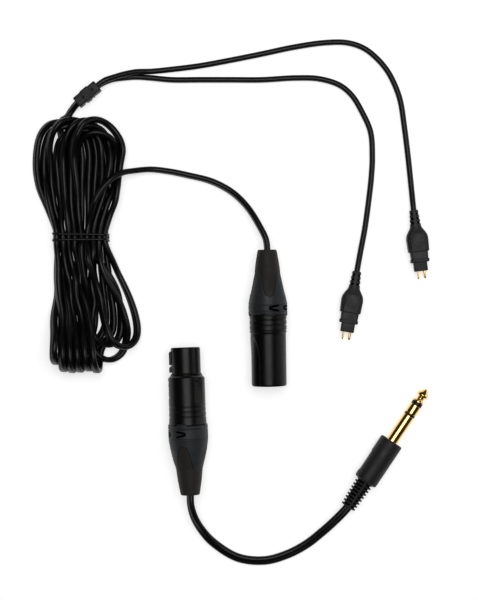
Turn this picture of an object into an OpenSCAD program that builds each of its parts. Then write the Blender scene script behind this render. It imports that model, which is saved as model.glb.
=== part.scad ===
// Headphone lead set, lying on a flat surface at Z = 0.
// A Y lead runs from two 2-pin headphone plugs to a 4-pin XLR plug, with its trunk tied in a hank.
// An adapter lead runs from a 4-pin XLR socket to a 6.35 mm stereo jack plug.
// Each connector is built along its own +X axis, from its cable end to its mating end.

/* [Cords] */
// Diameter of each single leg
leg_d = 3.1; // [2.4:0.1:3.4]
// Width of the twin cord
twin_w = 4.8; // [3.6:0.1:5]
// Thickness of the twin cord
twin_t = 3.1; // [2.4:0.1:3.2]

/* [Two-pin plugs] */
// Length of the moulded cover, without its collar
plug_cover_len = 22.6; // [21:0.1:25]
// Width of the moulded cover
plug_w = 11.6; // [10.5:0.1:13]
// Thickness of the moulded cover
plug_t = 8.4; // [7.6:0.1:10]
// Distance between the two pins
pin_gap = 3.6; // [3:0.1:4]
// Diameter of the thick pin
thick_pin_d = 1.4; // [1.2:0.05:1.5]
// Diameter of the thin pin
thin_pin_d = 1.0; // [0.8:0.05:1.1]

/* [XLR connectors] */
// Outside diameter of the male shell
male_shell_d = 19; // [18.8:0.1:19.4]
// Outside diameter of the female barrel
barrel_d = 15.7; // [15.5:0.05:15.75]
// Diameter of the circle that the four contacts stand on
contact_circle_d = 8; // [7.8:0.1:8.2]
// Diameter of each male pin
xlr_pin_d = 2; // [1.9:0.05:2]
// Bore of each female contact
socket_bore_d = 2.1; // [2.1:0.05:2.3]
// Outside diameter of the male gland's ring
male_ring_d = 20.9; // [20.2:0.1:21.4]
// Outside diameter of the female gland's ring
female_ring_d = 21.3; // [20.6:0.1:21.8]

/* [Jack plug] */
// Diameter of the jack's sleeve
jack_d = 6.35; // [6.3:0.01:6.4]
// Outside diameter of the jack's cover
jack_cover_d = 12.9; // [12:0.1:14]
// Number of ribs on the jack's strain relief
relief_ribs = 8; // [5:1:9]

/* [Hank] */
// Height of the hank's upper end
hank_top_h = 17; // [15:0.5:20]
// Height of the hank's lower end
hank_bottom_h = 25; // [21:0.5:27]
// Width of the hank where it is tied
waist_w = 29; // [27:0.5:31]

/* [Hidden] */
$fn = 48;
gap = 0.1;
far = 40;

// Places of the connectors: X, Y and heading of the +X axis of each
left_plug_at = [63, 13.5];
left_plug_heading = -99.5;
right_plug_at = [93.5, 46.5];
right_plug_heading = -83;
male_at = [14.5, 25];
male_heading = -89.2;
female_at = [-26.5, -106];
female_heading = 92;
jack_at = [58, -113];
jack_heading = 56.2;
splitter_at = [-82, 108.5, 6];
splitter_heading = 40;

// Two-pin plug: stations along its axis
relief_len = 9;
shoulder_x = 14.5;
collar_x = 28.3;
nose_x = 33.1;
pin_tip_x = 37.3;
collar_w = 9.8;
collar_t = 7.2;
nose_w = 7.2;
nose_t = 5.4;
plug_cavity = [13, 7.4, 5];
pin_step = 0.35;

// XLR: stations that both connectors share, counted from the gland's front face
neck_len = 6.5;
chuck_back = 1;
chuck_r = 6.6;
chuck_len = 10.5;
contact_r = contact_circle_d / 2;
cup_r = 1.35;
wire_r = 0.45;
boot_end_r = 5.2;
cord_bore_r = 2.75;

// Male XLR: petal tips, tongue ends, ring and gland front, then the mating end
male_x = [12.4, 24.9, 28.9, 34.5];
male_len = 72.8;
male_bore_r = 7.95;
male_insert_x = [52, 58.4];
male_ring_edge = male_x[3] - 1.4;
male_tilt = atan((male_ring_d - male_shell_d) / 2 / (male_len - male_ring_edge));
male_lift = male_ring_edge * sin(male_tilt) + male_ring_d / 2 * cos(male_tilt);
male_key = 180;

// Female XLR
female_x = [13.6, 26.5, 29.6, 37.2];
female_len = 78.8;
barrel_x = 65;
housing_r = 9.8;
housing_bore_r = 8.1;
barrel_bore_r = 6.9;
female_insert_x = [47.2, 62, 78.4];
neck_back = 2;
female_ring_edge = female_x[3] - 1.4;
female_tilt = atan((female_ring_d / 2 - housing_r) / (barrel_x - neck_back - female_ring_edge));
female_lift = female_ring_edge * sin(female_tilt) + female_ring_d / 2 * cos(female_tilt);
female_key = 0;
socket_r = 1.7;
key_w = 3;
key_h = 1.1;
latch_w = 4.4;
lever_pivot = [48.8, 5.9];
lever_pin_r = 0.6;
spring_x = 56.5;
spring_y = [-1.4, 4.9];

// Jack: stations along its axis, and radii of its nested contacts and insulators
cover_x = [16.5, 42.5];
flange_x = [38, 40.4];
sleeve_x = 59;
ring_x = [60.2, 65.6];
tip_x = [67.5, 76];
jack_z = jack_cover_d / 2;
tip_rod_r = 1;
ring_tube_r = [1.5, 2];
sleeve_bore_r = 2.5;
shoulder_r = 3.5;
insulator_r = jack_d / 2 - 0.2;

// Splitter block
splitter_len = 14.6;
splitter_w = 6.2;
splitter_h = 7.6;
splitter_band = 5;

// Hank: its narrow place, where the tie goes round it, and the tie's band
waist_y = 31.5;
waist_x = -85.5;
waist_z = [1.6, 10.8];
tie_w = 3.2;
tie_t = 1.2;

// Routes of the cords, from the splitter or the adapter's socket outwards
right_route = [
    [-79, 111, 7.6], [-76, 113.5, 7.6], [-72.5, 116, 7.4], [-68.5, 117.5, 6.6], [-62.5, 119.5, 5.2],
    [-56, 121, 3.6], [-48, 121.5, 1.8], [-38, 122.5, 1.6], [-22, 124.5, 1.6], [-5.5, 127.5, 1.6],
    [12, 131, 1.6], [28.5, 134.5, 1.6], [45.5, 137, 1.6], [58, 137, 1.6], [67, 134, 1.6],
    [74, 128.5, 1.6], [79.5, 122, 1.6], [83.5, 114.5, 1.6], [86.5, 106, 1.6], [89, 90, 1.6],
    [91, 73.5, 1.6], [92.5, 58, 2.6], [93.5, 46.5, 4.2], [94.5, 38, 4.2]
];
left_route = [
    [-79, 111, 4.4], [-76, 113.5, 4.4], [-72.5, 115.5, 4], [-68.5, 117, 3.2], [-62.5, 118, 2],
    [-56, 118.5, 1.6], [-48, 118, 1.6], [-37, 117, 1.6], [-21.5, 117, 1.6], [-5.5, 117, 1.6],
    [12, 117, 1.6], [30, 118, 1.6], [43, 117.5, 1.6], [54, 114, 1.6], [60.5, 108.5, 1.6],
    [66, 99.5, 1.6], [70.5, 89, 1.6], [71.5, 76, 1.6], [71, 65, 1.6], [69.5, 51.5, 1.6],
    [67.5, 37, 1.6], [65, 24, 2.6], [63, 13.5, 4.2], [61.5, 5, 4.2]
];
upper_route = [[-85, 106, 6], [-88, 103.5, 6], [-91, 100.5, 6.5], [-93, 96.5, 7.5], [-94, 92, 8.5]];
tail_route = [
    [-82, 34, 9], [-79, 47, 10.5], [-75, 55.5, 12], [-69, 62.5, 12], [-63.5, 66, 10],
    [-57, 67.5, 6.5], [-48, 68.5, 3], [-38.5, 67.5, 1.6], [-28.5, 65.5, 1.6], [-15, 62, 2],
    [-4, 56, 3.6], [4, 48, 6.4], [10, 38.5, 9.6], [14, 30, 11.3], [14.5, 25, 11.2], [15, -19.5, 10.2]
];
adapter_route = [
    [-28, -59, 10.3], [-26.5, -106, 11.8], [-26.3, -111, 11.8], [-24.5, -118, 9.8],
    [-20.5, -125.5, 6], [-14, -133, 2.8], [-1, -141, 1.6], [13.5, -142.5, 1.6],
    [26, -139, 1.8], [36, -133.5, 2.8], [44, -127, 4.2], [51, -120.5, 5.6], [58, -113, 6.4],
    [69, -96.5, 6.4]
];

// ---------- shared shapes ----------

function dir(a) = [cos(a), sin(a)];
function unit(v) = v / norm(v);

// A solid turned about the X axis, from [station, radius] points
module turned(profile) {
    rotate([0, 90, 0]) rotate_extrude() polygon([for (p = profile) [p[1], p[0]]]);
}

module rod(x0, x1, r) {
    translate([x0, 0, 0]) rotate([0, 90, 0]) cylinder(r = r, h = x1 - x0);
}

// A bar along X with a rectangular section
module bar(x0, x1, w, t) {
    translate([x0, -w / 2, -t / 2]) cube([x1 - x0, w, t]);
}

module at_contacts(key) {
    for (k = [1:4]) {
        c = contact_r * dir(key + 72 * k);
        translate([0, c[0], c[1]]) children();
    }
}

// The route's point i, or its first or last point where i is past an end
function beside(route, i) = route[max(0, min(i, len(route) - 1))];

// A flat ring of the cord about one point of its route
function section(route, i, w, t, sides) =
    let (ahead = unit(beside(route, i + 1) - beside(route, i - 1)))
    let (side = unit(cross([0, 0, 1], ahead)))
    let (up = cross(ahead, side))
    [for (k = [0:sides - 1])
        route[i] + side * w / 2 * cos(360 * k / sides) + up * t / 2 * sin(360 * k / sides)];

// One closed tube along a route
module cord(route, w, t, sides = 8) {
    last = len(route) - 1;
    rings = [for (i = [0:last]) each section(route, i, w, t, sides)];
    walls = [for (i = [0:last - 1]) for (k = [0:sides - 1])
        let (a = i * sides + k, b = i * sides + (k + 1) % sides)
        each [[a, b, b + sides], [a, b + sides, a + sides]]];
    start = [[for (k = [sides - 1:-1:0]) k]];
    end = [[for (k = [0:sides - 1]) last * sides + k]];
    polyhedron(rings, concat(walls, start, end));
}

// A short curved conductor between two points
module wire(from, to) {
    bend = [(to[0] - from[0]) / 3, 0, 0];
    cord([from, from + bend, to - bend, to], 2 * wire_r, 2 * wire_r);
}

// ---------- two-pin headphone plugs ----------

module plug_place(at, heading) {
    translate([at[0], at[1], plug_t / 2]) rotate([0, 0, heading]) children();
}

module plug_cover() {
    half = plug_w / 2;
    throat = 3.4;
    color("#2b2b2d") difference() {
        union() {
            turned([[0, 0], [0, 2.3], [relief_len, 2.9], [relief_len + 4, 3.2], [relief_len + 4, 0]]);
            intersection() {
                translate([0, 0, -plug_t / 2]) linear_extrude(plug_t) polygon([
                    [relief_len, throat - 0.4], [relief_len + 2, throat + 0.6], [shoulder_x - 1, half - 0.4],
                    [shoulder_x + 1, half], [plug_cover_len, half],
                    [plug_cover_len, -half], [shoulder_x + 1, -half], [shoulder_x - 1, 0.4 - half],
                    [relief_len + 2, -throat - 0.6], [relief_len, 0.4 - throat]
                ]);
                rotate([90, 0, 0]) translate([0, 0, -far / 2]) linear_extrude(far) polygon([
                    [relief_len, 2.6], [relief_len + 3, 3], [shoulder_x, plug_t / 2], [plug_cover_len, plug_t / 2],
                    [plug_cover_len, -plug_t / 2], [shoulder_x, -plug_t / 2], [relief_len + 3, -3], [relief_len, -2.6]
                ]);
            }
            bar(plug_cover_len - 1, collar_x, collar_w, collar_t);
        }
        rod(-1, 14, leg_d / 2 + 0.05);
        bar(12, 12 + plug_cavity[0], plug_cavity[1], plug_cavity[2]);
        bar(plug_cover_len, collar_x + 1, nose_w, nose_t);
        for (x = [2.2, 4.6, 7], side = [-1, 1]) {
            translate([x, side * 2.6, 0]) cube([0.9, 3, 2], center = true);
        }
    }
}

module plug_carrier() {
    color("#1f1f21") difference() {
        bar(25, nose_x, nose_w, nose_t);
        translate([0, pin_gap / 2, 0]) rod(20, far, thick_pin_d / 2 + pin_step);
        translate([0, -pin_gap / 2, 0]) rod(20, far, thin_pin_d / 2 + pin_step);
    }
}

// A contact pin with a bullet tip and a solder cup
module plug_pin(r, side) {
    cup = 1.1;
    color("#e3b04b") translate([0, side * pin_gap / 2, 0]) difference() {
        turned([
            [21, 0], [21, cup], [25, cup], [25, r + pin_step], [nose_x, r + pin_step], [nose_x, r],
            [pin_tip_x - 0.9, r], [pin_tip_x - 0.3, r * 0.6], [pin_tip_x, 0.12], [pin_tip_x, 0]
        ]);
        rod(20, 23.5, wire_r + 0.1);
    }
}

module plug_wires() {
    color("firebrick") wire([16, 0.7, 0], [23, pin_gap / 2, 0]);
    color("gainsboro") wire([16, -0.7, 0], [23, -pin_gap / 2, 0]);
}

module left_plug_cover() { plug_place(left_plug_at, left_plug_heading) plug_cover(); }
module left_plug_carrier() { plug_place(left_plug_at, left_plug_heading) plug_carrier(); }
module left_thick_pin() { plug_place(left_plug_at, left_plug_heading) plug_pin(thick_pin_d / 2, 1); }
module left_thin_pin() { plug_place(left_plug_at, left_plug_heading) plug_pin(thin_pin_d / 2, -1); }
module left_plug_wires() { plug_place(left_plug_at, left_plug_heading) plug_wires(); }
module right_plug_cover() { plug_place(right_plug_at, right_plug_heading) plug_cover(); }
module right_plug_carrier() { plug_place(right_plug_at, right_plug_heading) plug_carrier(); }
module right_thick_pin() { plug_place(right_plug_at, right_plug_heading) plug_pin(thick_pin_d / 2, 1); }
module right_thin_pin() { plug_place(right_plug_at, right_plug_heading) plug_pin(thin_pin_d / 2, -1); }
module right_plug_wires() { plug_place(right_plug_at, right_plug_heading) plug_wires(); }

// ---------- splitter ----------

module splitter_place() {
    translate(splitter_at) rotate([0, 0, splitter_heading]) children();
}

// The upper half when side is 1, the lower half when it is -1
module splitter_half(side) {
    color("#2a2a2c") splitter_place() difference() {
        union() {
            bar(-splitter_len / 2, splitter_len / 2, splitter_w, splitter_h);
            bar(-splitter_band / 2, splitter_band / 2, splitter_w + 0.8, splitter_h);
        }
        translate([0, 0, -side * far / 2]) cube([far, far, far], center = true);
        bar(0, far, leg_d + 0.2, 2 * leg_d + 0.4);
        bar(-far, 0, twin_w + 0.2, twin_t + 0.2);
        translate([-2.6, 0, side * splitter_h / 2]) cylinder(r = 0.6, h = 0.8, center = true);
    }
}

module splitter_top() { splitter_half(1); }
module splitter_bottom() { splitter_half(-1); }

// ---------- cords ----------

module left_lead() { color("#232325") cord(left_route, leg_d, leg_d); }
module right_lead() { color("#232325") cord(right_route, leg_d, leg_d); }
module trunk_upper() { color("#232325") cord(upper_route, twin_w, twin_t); }
module trunk_tail() { color("#232325") cord(tail_route, twin_w, twin_t); }
module adapter_lead() { color("#232325") cord(adapter_route, twin_w, twin_t); }

// Outline of the hank seen from above
module hank_plan() {
    left = waist_x - waist_w / 2;
    translate([left, waist_y - 2]) square([waist_w, 4]);
    hull() {
        translate([-97, 83]) circle(r = 13.2);
        translate([-77, 83]) circle(r = 13.4);
        translate([left, waist_y + 2]) square([waist_w, gap]);
    }
    hull() {
        translate([left, waist_y - 2 - gap]) square([waist_w, gap]);
        translate([-93, -31]) circle(r = 9);
        translate([-76, -31]) circle(r = 9);
        translate([-67.5, -18]) circle(r = 12.2);
    }
}

// Outline of the hank seen from the side, along Y and Z
module hank_side() {
    waist = waist_z[1] - waist_z[0];
    translate([waist_y - 2 - gap, waist_z[0]]) square([4 + 2 * gap, waist]);
    hull() {
        translate([96.4 - hank_top_h / 2, hank_top_h / 2]) circle(d = hank_top_h);
        translate([64, 0]) square([1, hank_top_h - 1.5]);
        translate([waist_y + 2, waist_z[0]]) square([gap, waist]);
    }
    hull() {
        translate([waist_y - 2 - gap, waist_z[0]]) square([gap, waist]);
        translate([hank_bottom_h / 2 - 40, hank_bottom_h / 2]) circle(d = hank_bottom_h);
    }
}

module trunk_hank() {
    color("#232325") intersection() {
        linear_extrude(far) hank_plan();
        translate([-130, 0, 0]) rotate([90, 0, 90]) linear_extrude(100) hank_side();
    }
}

module hank_tie() {
    waist = waist_z[1] - waist_z[0];
    inner = [waist_w + gap, tie_w + 1, waist + gap];
    outer = [waist_w + gap + 2 * tie_t, tie_w, waist + gap + 2 * tie_t];
    color("#151515") translate([waist_x, waist_y, waist_z[0] + waist / 2]) difference() {
        cube(outer, center = true);
        cube(inner, center = true);
    }
}

// ---------- parts that both XLR connectors share ----------

// U-shaped outline of a boot tongue, pointing along +X
module tongue(x, grow) {
    reach = x[1] - x[0] + 0.6;
    polygon(concat(
        [[x[0] - 4, -4.1 - grow]],
        [for (a = [-90:15:90]) [x[0] - 0.6 + (reach + grow) * cos(a), (3.9 + grow) * sin(a)]],
        [[x[0] - 4, 4.1 + grow]]
    ));
}

module tongues(x, spin, grow) {
    for (k = [0:3]) {
        rotate([spin + 90 * k, 0, 0]) linear_extrude(far) tongue(x, grow);
    }
}

// Radius of the gland's outer cone at its petal tips, its middle and its ring
function cone_r(ring_r) = [ring_r - 3.7, ring_r - 1.7, ring_r];

// Screw gland: a ring with a threaded neck at the front and four petals behind
module gland(x, ring_r, spin) {
    r = cone_r(ring_r);
    color("#3b3e43") difference() {
        turned([
            [x[0], r[0] - 0.8], [x[0], r[0]], [x[1] - 3, r[1]], [x[2] - 0.6, ring_r - 0.15], [x[2], ring_r],
            [x[3] - 1.4, ring_r], [x[3], ring_r - 0.5], [x[3], 7.8], [x[3] + neck_len, 7.8],
            [x[3] + neck_len, chuck_r + 0.15], [x[2] + 0.6, chuck_r + 0.15], [x[2], r[1] - 0.9]
        ]);
        tongues(x, spin, 0.15);
        for (s = [x[2] + 0.7, x[3] - 1.9]) {
            turned([[s, ring_r - 0.2], [s, far], [s + 0.4, far], [s + 0.4, ring_r - 0.2]]);
        }
    }
}

// Rubber boot: a hollow cone whose four tongues fill the gaps between the petals
module boot(x, ring_r, spin) {
    r = cone_r(ring_r);
    core_end = x[2] - 0.2;
    color("#34322f") difference() {
        union() {
            turned([
                [0, 0], [0, boot_end_r - 0.8], [0.8, boot_end_r - 0.1], [1.6, boot_end_r],
                [x[0] - gap, r[0] - 0.2], [x[0] - gap, r[0] - 0.95], [core_end, r[1] - 1], [core_end, 0]
            ]);
            intersection() {
                turned([
                    [x[0] - 1, 5], [x[0] - 1, r[0] - 0.3], [x[1] - 3, r[1] - 0.2], [core_end, r[1] + 0.4],
                    [core_end, r[1] - 1.5], [x[0] + 1, 5]
                ]);
                tongues(x, spin, 0);
            }
        }
        turned([
            [-1, 0], [-1, cord_bore_r + 1.4], [1.2, cord_bore_r], [14, cord_bore_r],
            [core_end + 1, r[1] - 2.4], [core_end + 1, 0]
        ]);
    }
}

// Cable clamp with four jaws, which slides back as the gland unscrews
module chuck(x) {
    start = x[3] - chuck_back;
    flange = x[3] + neck_len + gap;
    color("#d8d4c8") difference() {
        turned([
            [start, cord_bore_r], [start, 5.2], [start + 3, chuck_r], [flange, chuck_r], [flange, 7.6],
            [start + chuck_len, 7.6], [start + chuck_len, cord_bore_r]
        ]);
        for (a = [45, 135]) {
            rotate([a, 0, 0]) bar(start - 1, start + 6.5, far, 0.8);
        }
    }
}

// Four conductors from the cord's end to the solder cups
module contact_wires(x0, x1, key) {
    for (k = [1:4]) {
        near = 0.85 * dir(key + 72 * k);
        out = contact_r * dir(key + 72 * k);
        color(["firebrick", "gainsboro", "steelblue", "goldenrod"][k - 1])
            wire([x0, near[0], near[1]], [x1, out[0], out[1]]);
    }
}

// ---------- male XLR ----------

module male_place() {
    translate([male_at[0], male_at[1], male_lift]) rotate([0, male_tilt, male_heading]) children();
}

module male_shell() {
    r = male_shell_d / 2;
    back = male_x[3] + gap;
    step = back + 10;
    color("#1c1c1e") male_place() difference() {
        turned([
            [back, male_bore_r], [back, r + 0.25], [back + 0.2, r + 0.45], [step - 0.4, r + 0.35],
            [step, r], [male_len - 0.3, r], [male_len, r - 0.3], [male_len, male_bore_r]
        ]);
        for (s = [back + 2.6, back + 5.4, back + 8.2]) {
            turned([[s, r + 0.15], [s, far], [s + 0.5, far], [s + 0.5, r + 0.15]]);
        }
        translate([male_len - 12.5, -male_bore_r - key_h, -key_w / 2 - 0.1]) cube([far, 4, key_w + 0.2]);
        intersection() {
            turned([[step, r - 0.3], [step, far], [male_len + 1, far], [male_len + 1, r - 0.3]]);
            rotate([72, 0, 0]) linear_extrude(far) polygon(concat(
                [[far * 2, -5.9]],
                [for (a = [-90:15:90]) [step + 16 - 14 * cos(a), 5.9 * sin(a)]],
                [[far * 2, 5.9]]
            ));
        }
    }
}

module male_insert() {
    color("#161616") male_place() difference() {
        rod(male_insert_x[0], male_insert_x[1], male_bore_r - 0.05);
        at_contacts(male_key) rod(0, male_len, xlr_pin_d / 2);
    }
}

module male_pins() {
    r = xlr_pin_d / 2;
    tip = male_len - 2.8;
    color("#e3b04b") male_place() at_contacts(male_key) difference() {
        turned([
            [male_insert_x[0] - 3, 0], [male_insert_x[0] - 3, cup_r], [male_insert_x[0], cup_r],
            [male_insert_x[0], r], [tip - 0.8, r], [tip - 0.2, r * 0.6], [tip, 0]
        ]);
        rod(male_insert_x[0] - 4, male_insert_x[0] - 0.6, wire_r + 0.2);
    }
}

module male_wires() {
    male_place() contact_wires(44.6, male_insert_x[0] - 1, male_key);
}

module male_chuck() { male_place() chuck(male_x); }
module male_gland() { male_place() gland(male_x, male_ring_d / 2, -5); }
module male_boot() { male_place() boot(male_x, male_ring_d / 2, -5); }

// ---------- female XLR ----------

module female_place() {
    translate([female_at[0], female_at[1], female_lift]) rotate([0, female_tilt, female_heading]) children();
}

module female_shell() {
    r = barrel_d / 2;
    back = female_x[3] + gap;
    neck = barrel_x - neck_back;
    color("#1c1c1e") female_place() difference() {
        union() {
            turned([
                [back, housing_bore_r], [back, housing_r + 0.05], [back + 0.2, housing_r + 0.25],
                [back + 9, housing_r], [neck - 0.3, housing_r], [neck, housing_r - 0.3], [barrel_x, r + 0.4],
                [barrel_x, r], [female_len - 0.3, r], [female_len, r - 0.3], [female_len, barrel_bore_r],
                [female_insert_x[1] + gap, barrel_bore_r], [female_insert_x[1] + gap, housing_bore_r]
            ]);
            translate([barrel_x, r - 0.5, -key_w / 2]) cube([12, 0.5 + key_h, key_w]);
        }
        for (s = [back + 4.3, back + 7, back + 9.5]) {
            turned([[s, housing_r - 0.2], [s, far], [s + 0.5, far], [s + 0.5, housing_r - 0.2]]);
        }
        translate([51.6, 4, -latch_w / 2 - 0.3]) cube([9.4, far, latch_w + 0.6]);
        translate([barrel_x - 0.5, 4, -key_w / 2 - 0.3]) cube([5.1, far, key_w + 0.6]);
    }
}

module female_insert() {
    x = female_insert_x;
    color("#161616") female_place() difference() {
        turned([
            [x[0], 0], [x[0], housing_bore_r - 0.05], [x[1], housing_bore_r - 0.05], [x[1], barrel_bore_r - 0.05],
            [x[2], barrel_bore_r - 0.05], [x[2], 0]
        ]);
        rod(0, 53, 5.6);
        at_contacts(female_key) rod(0, x[2] - 0.6, socket_r);
        at_contacts(female_key) rod(x[2] - 1, x[2] + 1, socket_bore_d / 2 + 0.1);
        translate([0, 3.6, -latch_w / 2 - 0.3]) cube([70, far, latch_w + 0.6]);
        translate([lever_pivot[0], lever_pivot[1], 0]) cylinder(r = lever_pin_r, h = far, center = true);
        translate([spring_x, spring_y[0] - 0.1, 0]) rotate([-90, 0, 0]) cylinder(r = 1.6, h = far);
    }
}

module female_contacts() {
    front = female_insert_x[2] - 0.6;
    color("#e3b04b") female_place() at_contacts(female_key) difference() {
        turned([
            [50, 0], [50, cup_r], [53, cup_r], [53, socket_r - 0.02], [front, socket_r - 0.02], [front, 0]
        ]);
        rod(front - 12, front + 1, socket_bore_d / 2);
        rod(49, 52.4, wire_r + 0.2);
    }
}

module female_wires() {
    female_place() contact_wires(47.3, 51, female_key);
}

module latch_lever() {
    y = lever_pivot[1];
    beam = [y - 0.9, y + 0.5];
    hook_y = barrel_d / 2 + key_h;
    color("#2a2a2c") female_place() difference() {
        union() {
            translate([0, 0, -latch_w / 2]) linear_extrude(latch_w) {
                translate(lever_pivot) circle(r = 1.4);
                polygon([
                    [lever_pivot[0], beam[0]], [69.2, beam[0]], [69.2, beam[1]], [60.6, beam[1]],
                    [60.6, housing_r - 0.9], [59.8, housing_r - 0.2], [52.8, housing_r - 0.2],
                    [52, housing_r - 0.9], [52, beam[1]], [lever_pivot[0], beam[1]]
                ]);
            }
            translate([0, 0, -key_w / 2]) linear_extrude(key_w) polygon([
                [65.6, y], [69.2, y], [69.2, hook_y - 1.2], [68, hook_y], [65.6, hook_y]
            ]);
        }
        translate(lever_pivot) cylinder(r = lever_pin_r + 0.04, h = far, center = true);
    }
}

module latch_pin() {
    color("silver") female_place() translate(lever_pivot) cylinder(r = lever_pin_r, h = 9, center = true);
}

// Coil spring that pushes the lever outwards
module latch_spring() {
    turns = 6;
    steps = 10;
    reach = spring_y[1] - spring_y[0] - 0.4;
    helix = [for (i = [0:turns * steps])
        let (a = 360 * i / steps)
        [spring_x + 1.15 * cos(a), spring_y[0] + 0.2 + reach * i / (turns * steps), 1.15 * sin(a)]];
    color("silver") female_place() cord(helix, 0.3, 0.3, 6);
}

module female_chuck() { female_place() chuck(female_x); }
module female_gland() { female_place() gland(female_x, female_ring_d / 2, -17); }
module female_boot() { female_place() boot(female_x, female_ring_d / 2, -17); }

// ---------- jack plug ----------

module jack_place() {
    translate([jack_at[0], jack_at[1], jack_z]) rotate([0, 0, jack_heading]) children();
}

module jack_tip() {
    r = jack_d / 2;
    color("#e3b04b") jack_place() turned([
        [34, 0], [34, tip_rod_r], [tip_x[0], tip_rod_r], [tip_x[0], r], [tip_x[0] + 0.9, r],
        [tip_x[0] + 2.2, 1.9], [tip_x[0] + 2.8, 1.9], [tip_x[0] + 4.4, r - 0.2], [tip_x[0] + 5.2, r - 0.2],
        [tip_x[1] - 0.6, 0.9], [tip_x[1], 0.3], [tip_x[1], 0]
    ]);
}

module jack_ring() {
    color("#e3b04b") jack_place() turned([
        [36, ring_tube_r[0]], [36, ring_tube_r[1]], [ring_x[0], ring_tube_r[1]], [ring_x[0], jack_d / 2],
        [ring_x[1], jack_d / 2], [ring_x[1], ring_tube_r[0]]
    ]);
}

module jack_sleeve() {
    color("#e3b04b") jack_place() turned([
        [flange_x[0], sleeve_bore_r], [flange_x[0], 4.6], [flange_x[1], 4.6], [flange_x[1], shoulder_r],
        [cover_x[1], shoulder_r],
        [cover_x[1], jack_d / 2], [sleeve_x, jack_d / 2], [sleeve_x, sleeve_bore_r]
    ]);
}

module tip_insulator() {
    color("#141414") jack_place() turned([
        [35, tip_rod_r], [35, ring_tube_r[0]], [ring_x[1], ring_tube_r[0]], [ring_x[1], insulator_r],
        [tip_x[0], insulator_r], [tip_x[0], tip_rod_r]
    ]);
}

module ring_insulator() {
    color("#141414") jack_place() turned([
        [37, ring_tube_r[1]], [37, sleeve_bore_r], [sleeve_x, sleeve_bore_r], [sleeve_x, insulator_r],
        [ring_x[0], insulator_r], [ring_x[0], ring_tube_r[1]]
    ]);
}

// Three solder lugs, for the tip, the ring and the sleeve
module jack_lugs() {
    color("silver") jack_place() {
        turned([[33, 0], [33, 1.4], [34, 1.4], [34, 0]]);
        translate([29, -0.6, -0.2]) cube([4, 1.2, 0.4]);
        difference() {
            translate([31, 1.7, -0.2]) cube([5, 1.2, 0.4]);
            rod(30, 35.9, ring_tube_r[0]);
        }
        translate([31, -4.2, -0.2]) cube([7, 1.2, 0.4]);
    }
}

module jack_wires() {
    jack_place() {
        color("gainsboro") wire([21, 0, 0.8], [29.5, 0, 0.65]);
        color("firebrick") wire([21, 0.9, 0.6], [32, 2.3, 0.65]);
        color("goldenrod") wire([21, -0.9, 0.6], [32, -3.6, 0.65]);
    }
}

module jack_cover() {
    r = jack_cover_d / 2;
    color("#2a2a2b") jack_place() difference() {
        turned([
            [cover_x[0], 4.6], [cover_x[0], r - 0.6], [cover_x[0] + 0.8, r - 0.4], [cover_x[0] + 1.2, r],
            [cover_x[1] - 0.6, r], [cover_x[1], r - 0.6], [cover_x[1], shoulder_r],
            [flange_x[1], shoulder_r], [flange_x[1], 5], [20, 5], [20, 4.6]
        ]);
        translate([cover_x[0] + 4, r - 0.5, -2.5]) cube([12, 2, 5]);
    }
}

// Ribbed strain relief that grips the cord behind the cover
module jack_relief() {
    pitch = (cover_x[0] - 0.6) / relief_ribs;
    color("#232324") jack_place() difference() {
        union() {
            turned([
                [0, cord_bore_r], [0, 3], [cover_x[0], 3.8], [cover_x[0], 4.55], [20, 4.55], [20, cord_bore_r]
            ]);
            for (k = [0:relief_ribs - 1]) {
                rib = 4 + 0.9 * k / relief_ribs;
                turned([
                    [k * pitch, 2.9], [k * pitch, rib], [k * pitch + 1.1, rib], [k * pitch + 1.1, 2.9]
                ]);
            }
        }
        rod(-1, 21, cord_bore_r);
    }
}

// ---------- the set ----------

left_plug_cover();
left_plug_carrier();
left_thick_pin();
left_thin_pin();
left_plug_wires();
right_plug_cover();
right_plug_carrier();
right_thick_pin();
right_thin_pin();
right_plug_wires();
left_lead();
right_lead();
splitter_top();
splitter_bottom();
trunk_upper();
trunk_hank();
trunk_tail();
hank_tie();
male_shell();
male_insert();
male_pins();
male_wires();
male_chuck();
male_gland();
male_boot();
female_shell();
female_insert();
female_contacts();
female_wires();
female_chuck();
female_gland();
female_boot();
latch_lever();
latch_pin();
latch_spring();
adapter_lead();
jack_tip();
jack_ring();
jack_sleeve();
tip_insulator();
ring_insulator();
jack_lugs();
jack_wires();
jack_cover();
jack_relief();
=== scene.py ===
import math

import bmesh
import bpy
import numpy as np
from mathutils import Matrix


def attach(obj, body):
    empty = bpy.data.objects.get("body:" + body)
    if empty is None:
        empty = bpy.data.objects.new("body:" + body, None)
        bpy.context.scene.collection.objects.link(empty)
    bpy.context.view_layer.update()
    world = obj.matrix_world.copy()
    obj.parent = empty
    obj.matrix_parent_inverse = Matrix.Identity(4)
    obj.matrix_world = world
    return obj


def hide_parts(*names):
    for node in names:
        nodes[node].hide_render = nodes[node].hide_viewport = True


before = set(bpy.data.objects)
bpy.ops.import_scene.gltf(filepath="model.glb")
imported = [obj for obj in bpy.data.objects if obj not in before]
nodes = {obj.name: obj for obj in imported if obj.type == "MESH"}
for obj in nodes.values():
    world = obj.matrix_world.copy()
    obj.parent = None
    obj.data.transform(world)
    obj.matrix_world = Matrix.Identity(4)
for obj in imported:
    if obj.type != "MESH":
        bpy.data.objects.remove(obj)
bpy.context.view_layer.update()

MM = 0.001  # the script's own units are millimetres, and meshes are made in metres

# ---------------------------------------------------------------- sizes and places, as in the CAD source

LEG_D = 3.1
TWIN_W = 4.8
TWIN_T = 3.1
LOBE_R = TWIN_T / 2
LOBE_OUT = (TWIN_W - TWIN_T) / 2

PLUG_T = 8.4
PLUG_W = 11.6
LEFT_PLUG = ((63, 13.5), -99.5)
RIGHT_PLUG = ((93.5, 46.5), -83)

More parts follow.
